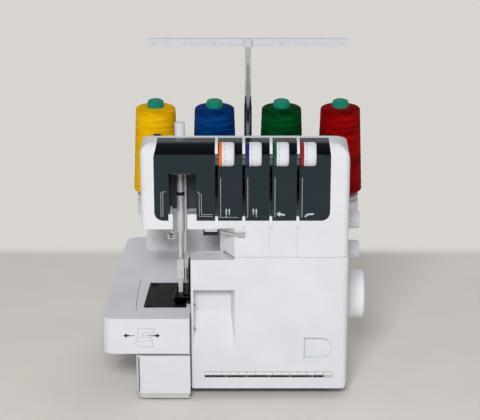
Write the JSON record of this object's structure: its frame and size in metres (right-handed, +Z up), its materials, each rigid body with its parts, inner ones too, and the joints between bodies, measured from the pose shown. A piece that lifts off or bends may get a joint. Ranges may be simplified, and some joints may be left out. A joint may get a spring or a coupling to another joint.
{
  "type": "serger overlock machine",
  "caption": "Tabletop overlock sewing machine with a free arm and sliding table, drop-down looper cover, tension dials, thread cones and a telescopic thread stand.",
  "frame": {"origin": "middle of the object's outer box, on the surface that it stands on", "axes": "+X along the machine towards the handwheel, +Y from the front to the back, +Z up"},
  "size_m": [0.3112, 0.273, 0.391],
  "materials": {
    "white_plastic": "satin moulded ABS",
    "fascia_plastic": "dark blue-grey moulded plastic",
    "black_plastic": "black moulded plastic",
    "rubber": "black rubber",
    "cast_aluminium": "die-cast",
    "chrome": "plated",
    "tool_steel": "ground",
    "plate_steel": "dark plated",
    "black_steel": "blackened",
    "bronze": "sintered",
    "guide_plastic": "blue-white moulded",
    "clear_plastic": "frosted lens",
    "thread_yellow": "wound polyester thread",
    "thread_blue": "wound polyester thread",
    "thread_green": "wound polyester thread",
    "thread_red": "wound polyester thread"
  },
  "bodies": {
    "body": {"base_plate": "white_plastic", "rubber_feet": "rubber", "main_frame": "cast_aluminium", "front_casing": "white_plastic", "rear_cover": "white_plastic", "side_panel": "white_plastic", "needle_bay_liner": "fascia_plastic", "fascia_panel": "fascia_plastic", "free_arm_shell": "white_plastic", "needle_plate": "plate_steel", "needle_plate_screws": "tool_steel", "lower_knife": "tool_steel", "tension_disc_sets": "chrome", "tension_bracket": "tool_steel", "top_thread_guides": "white_plastic", "channel_guides": "guide_plastic", "led_lamp": "clear_plastic", "take_up_guard": "chrome", "bar_thread_guide": "white_plastic", "shaft_bearings": "bronze", "drive_belt": "rubber", "motor": "black_plastic", "power_inlet": "black_plastic", "spool_stand": "white_plastic", "cone_holders": "white_plastic", "pole_outer": "chrome"},
    "main_shaft": {"main_shaft": "tool_steel", "handwheel": "white_plastic"},
    "motor_pulley": {"motor_pulley": "tool_steel"},
    "needle_bar": {"needle_bar": "chrome", "needle_clamp": "chrome", "needles": "chrome"},
    "presser_bar": {"presser_bar": "chrome", "presser_collar": "black_plastic", "presser_ankle": "chrome"},
    "presser_foot": {"presser_foot": "black_steel"},
    "presser_lifter": {"presser_lifter": "black_plastic"},
    "upper_looper": {"upper_looper": "tool_steel"},
    "lower_looper": {"lower_looper": "tool_steel"},
    "upper_knife": {"upper_knife": "black_steel"},
    "feed_dogs": {"feed_dogs": "tool_steel"},
    "cover_rod": {"cover_hinge_rod": "tool_steel"},
    "looper_cover": {"looper_cover": "white_plastic"},
    "extension_table": {"extension_table": "white_plastic"},
    "tension_dial_1": {"tension_dial_1": "white_plastic"},
    "tension_dial_2": {"tension_dial_2": "white_plastic"},
    "tension_dial_3": {"tension_dial_3": "white_plastic"},
    "tension_dial_4": {"tension_dial_4": "white_plastic"},
    "stitch_length_dial": {"stitch_length_dial": "white_plastic"},
    "differential_dial": {"differential_dial": "white_plastic"},
    "pressure_knob": {"pressure_knob": "white_plastic"},
    "power_switch": {"power_switch": "black_plastic"},
    "carry_handle": {"carry_handle": "black_plastic"},
    "pole_middle": {"pole_middle": "chrome"},
    "pole_inner": {"pole_inner": "chrome", "thread_guide_bar": "guide_plastic"},
    "thread_cone_1": {"thread_cone_1": "thread_yellow"},
    "thread_cone_2": {"thread_cone_2": "thread_blue"},
    "thread_cone_3": {"thread_cone_3": "thread_green"},
    "thread_cone_4": {"thread_cone_4": "thread_red"}
  },
  "joints": [
    {"name": "handwheel_turn", "type": "hinge", "parent": "body", "child": "main_shaft", "pos_m": [0.00957, -0.0485, 0.101], "axis": [1, 0, 0], "continuous": true},
    {"name": "motor_turn", "type": "hinge", "parent": "body", "child": "motor_pulley", "pos_m": [0.00957, -0.0145, 0.047], "axis": [1, 0, 0], "continuous": true},
    {"name": "needle_bar_slide", "type": "slide", "parent": "body", "child": "needle_bar", "axis": [0, 0, 1], "range_m": [-0.014, 0.011]},
    {"name": "presser_bar_slide", "type": "slide", "parent": "body", "child": "presser_bar", "axis": [0, 0, 1], "range_m": [0, 0.006]},
    {"name": "presser_foot_tilt", "type": "hinge", "parent": "presser_bar", "child": "presser_foot", "pos_m": [-0.06463, -0.0755, 0.1183], "axis": [1, 0, 0], "range_deg": [0, 6]},
    {"name": "presser_lifter_turn", "type": "hinge", "parent": "body", "child": "presser_lifter", "pos_m": [-0.04043, -0.0085, 0.236], "axis": [0, 1, 0], "range_deg": [0, 40]},
    {"name": "upper_looper_swing", "type": "hinge", "parent": "body", "child": "upper_looper", "pos_m": [-0.01443, -0.1265, 0.072], "axis": [0, 1, 0], "range_deg": [0, 14]},
    {"name": "lower_looper_swing", "type": "hinge", "parent": "body", "child": "lower_looper", "pos_m": [-0.02043, -0.1265, 0.04], "axis": [0, 1, 0], "range_deg": [-10, 3]},
    {"name": "upper_knife_swing", "type": "hinge", "parent": "body", "child": "upper_knife", "pos_m": [-0.05043, -0.0735, 0.15], "axis": [1, 0, 0], "range_deg": [-8, 0]},
    {"name": "feed_dog_slide", "type": "slide", "parent": "body", "child": "feed_dogs", "axis": [0, 1, 0], "range_m": [-0.0015, 0.0015]},
    {"name": "cover_slide", "type": "slide", "parent": "body", "child": "cover_rod", "axis": [1, 0, 0], "range_m": [0, 0.005]},
    {"name": "cover_swing", "type": "hinge", "parent": "cover_rod", "child": "looper_cover", "pos_m": [0.00957, -0.12, 0.021], "axis": [1, 0, 0], "range_deg": [0, 85]},
    {"name": "table_slide", "type": "slide", "parent": "body", "child": "extension_table", "axis": [-1, 0, 0], "range_m": [0, 0.1]},
    {"name": "tension_dial_1_turn", "type": "hinge", "parent": "body", "child": "tension_dial_1", "pos_m": [-0.01033, -0.117, 0.299], "axis": [1, 0, 0], "range_deg": [-140, 140]},
    {"name": "tension_dial_2_turn", "type": "hinge", "parent": "body", "child": "tension_dial_2", "pos_m": [0.02057, -0.117, 0.299], "axis": [1, 0, 0], "range_deg": [-140, 140]},
    {"name": "tension_dial_3_turn", "type": "hinge", "parent": "body", "child": "tension_dial_3", "pos_m": [0.05147, -0.117, 0.299], "axis": [1, 0, 0], "range_deg": [-140, 140]},
    {"name": "tension_dial_4_turn", "type": "hinge", "parent": "body", "child": "tension_dial_4", "pos_m": [0.08237, -0.117, 0.299], "axis": [1, 0, 0], "range_deg": [-140, 140]},
    {"name": "stitch_length_turn", "type": "hinge", "parent": "body", "child": "stitch_length_dial", "pos_m": [0.12957, -0.0485, 0.1965], "axis": [1, 0, 0], "range_deg": [-120, 120]},
    {"name": "differential_turn", "type": "hinge", "parent": "body", "child": "differential_dial", "pos_m": [0.12957, -0.0485, 0.1585], "axis": [1, 0, 0], "range_deg": [-120, 120]},
    {"name": "pressure_knob_turn", "type": "hinge", "parent": "body", "child": "pressure_knob", "pos_m": [-0.06463, -0.0765, 0.31], "axis": [0, 0, 1], "range_deg": [-170, 170]},
    {"name": "power_switch_rock", "type": "hinge", "parent": "body", "child": "power_switch", "pos_m": [0.12557, 0.008, 0.068], "axis": [0, 1, 0], "range_deg": [0, 8]},
    {"name": "carry_handle_swing", "type": "hinge", "parent": "body", "child": "carry_handle", "pos_m": [0.00957, -0.08066, 0.30818], "axis": [1, 0, 0], "range_deg": [0, 110]},
    {"name": "pole_middle_slide", "type": "slide", "parent": "body", "child": "pole_middle", "axis": [0, 0, 1], "range_m": [-0.009, 0]},
    {"name": "pole_inner_slide", "type": "slide", "parent": "pole_middle", "child": "pole_inner", "axis": [0, 0, 1], "range_m": [-0.05, 0]},
    {"name": "thread_cone_1_lift", "type": "slide", "parent": "body", "child": "thread_cone_1", "axis": [0, 0, 1], "range_m": [0, 0.064]},
    {"name": "thread_cone_2_lift", "type": "slide", "parent": "body", "child": "thread_cone_2", "axis": [0, 0, 1], "range_m": [0, 0.064]},
    {"name": "thread_cone_3_lift", "type": "slide", "parent": "body", "child": "thread_cone_3", "axis": [0, 0, 1], "range_m": [0, 0.064]},
    {"name": "thread_cone_4_lift", "type": "slide", "parent": "body", "child": "thread_cone_4", "axis": [0, 0, 1], "range_m": [0, 0.064]}
  ],
  "couplings": [
    {"joint": "motor_turn", "follows": "handwheel_turn", "ratio": 3},
    {"joint": "presser_lifter_turn", "follows": "presser_bar_slide", "rad_per_m": 116.36}
  ]
}
